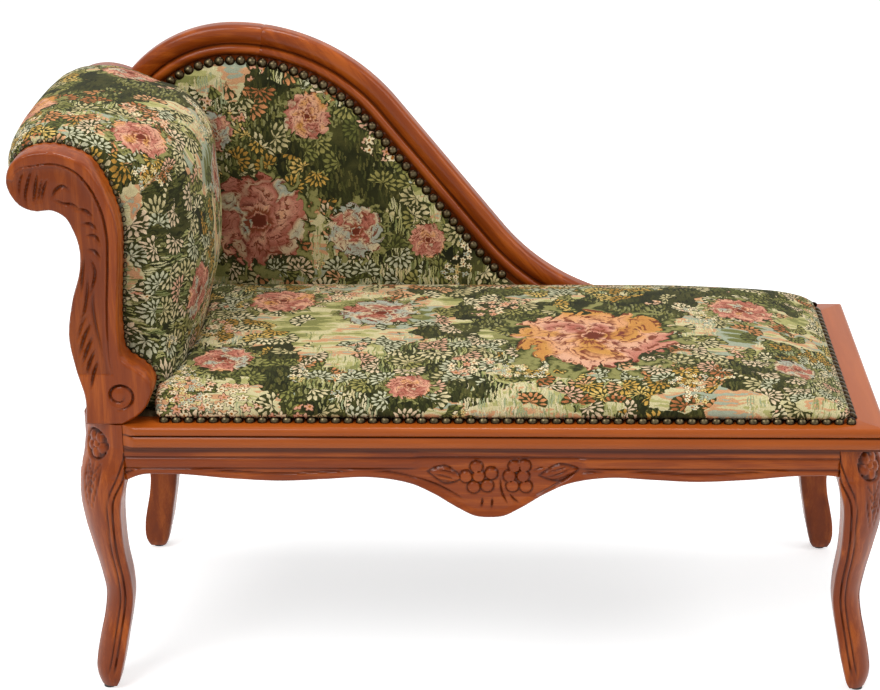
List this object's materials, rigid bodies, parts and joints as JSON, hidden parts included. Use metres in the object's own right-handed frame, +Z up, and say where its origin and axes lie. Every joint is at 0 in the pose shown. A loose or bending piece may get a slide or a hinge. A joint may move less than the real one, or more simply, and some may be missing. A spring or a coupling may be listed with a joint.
{
  "type": "chaise longue",
  "caption": "Carved hardwood chaise longue on cabriole legs, with a rolled head end, a swept half back and tapestry upholstery edged with brass nails.",
  "frame": {"origin": "Middle of the bounding box at floor level, under the middle of the seat.", "axes": "+X from the rolled head end to the foot end, +Y from the open front side to the side with the back, +Z up from the floor."},
  "size_m": [1.242, 0.544, 0.88],
  "materials": {
    "wood_frame": "carved hardwood, stained reddish brown and lacquered to a semi-gloss",
    "beech_inner": "plain sawn beech, not finished",
    "tapestry": "woven tapestry with leaves and blossoms in greens, pinks, ochre and cream",
    "webbing": "woven jute webbing",
    "hessian": "open plain-weave hessian",
    "foam": "polyurethane foam wrapped in wadding",
    "lining": "thin black non-woven lining",
    "screw_steel": "zinc-plated wood screws",
    "glide": "brown nylon glides"
  },
  "bodies": {
    "root": {"back_base_rail": "beech_inner", "back_cover": "tapestry", "back_foam": "foam", "back_hessian": "hessian", "back_outside_cover": "tapestry", "back_straps": "webbing", "corner_block_screws": "screw_steel", "crest_rail_crown": "wood_frame", "crest_rail_sweep": "wood_frame", "crest_spline": "beech_inner", "foot_apron": "wood_frame", "foot_rim": "wood_frame", "frame_dowels": "beech_inner", "front_apron": "wood_frame", "front_left_corner_block": "beech_inner", "front_left_leg": "wood_frame", "front_right_corner_block": "beech_inner", "front_right_leg": "wood_frame", "front_rim": "wood_frame", "head_apron": "wood_frame", "head_cover": "tapestry", "head_foam": "foam", "head_front_post": "wood_frame", "head_hessian": "hessian", "head_lower_rail": "beech_inner", "head_neck_rail": "beech_inner", "head_outside_cover": "tapestry", "head_rear_post": "wood_frame", "head_roll_rail": "beech_inner", "head_straps": "webbing", "leg_glides": "glide", "rear_apron": "wood_frame", "rear_left_corner_block": "beech_inner", "rear_left_leg": "wood_frame", "rear_right_corner_block": "beech_inner", "rear_right_leg": "wood_frame", "rear_rim": "wood_frame", "seat_cover": "tapestry", "seat_cross_straps": "webbing", "seat_dust_cover": "lining", "seat_foam": "foam", "seat_hessian": "hessian", "seat_long_straps": "webbing"}
  },
  "joints": []
}
